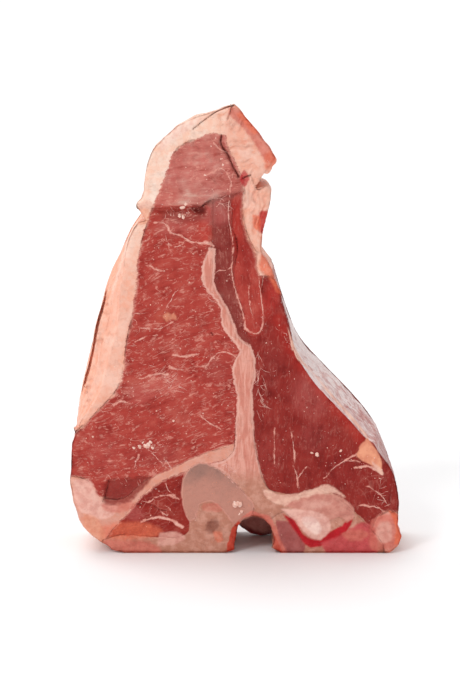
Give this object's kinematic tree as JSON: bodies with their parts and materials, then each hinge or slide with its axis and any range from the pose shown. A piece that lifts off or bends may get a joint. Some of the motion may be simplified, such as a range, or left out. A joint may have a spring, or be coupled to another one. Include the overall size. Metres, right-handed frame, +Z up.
{
  "type": "raw t-bone steak",
  "caption": "Thick raw t-bone steak standing on its sawn chine edge, with lean muscles, fat cap, bone and cartilage as separate pieces.",
  "frame": {"origin": "middle of the steak's box at the level of its sawn base", "axes": "+Z up towards the flank tail, -Y towards the front cut face, +X towards the tenderloin side"},
  "size_m": [0.1948, 0.048, 0.264],
  "materials": {
    "lean": "moist raw lean meat",
    "dark_lean": "moist raw lean meat, darker",
    "fat": "firm raw fat",
    "bone": "sawn raw bone",
    "cartilage": "wet cartilage"
  },
  "bodies": {
    "root": {"strip_loin": "lean", "tenderloin": "dark_lean", "tail_muscle": "lean", "flank_strip": "lean", "flank_wedge": "dark_lean", "back_muscle": "lean", "fat_cap": "fat", "tail_fat": "fat", "chine_fat": "fat", "corner_fat": "fat", "t_bone": "bone", "spine_bone": "bone", "cartilage_cap": "cartilage"}
  },
  "joints": []
}
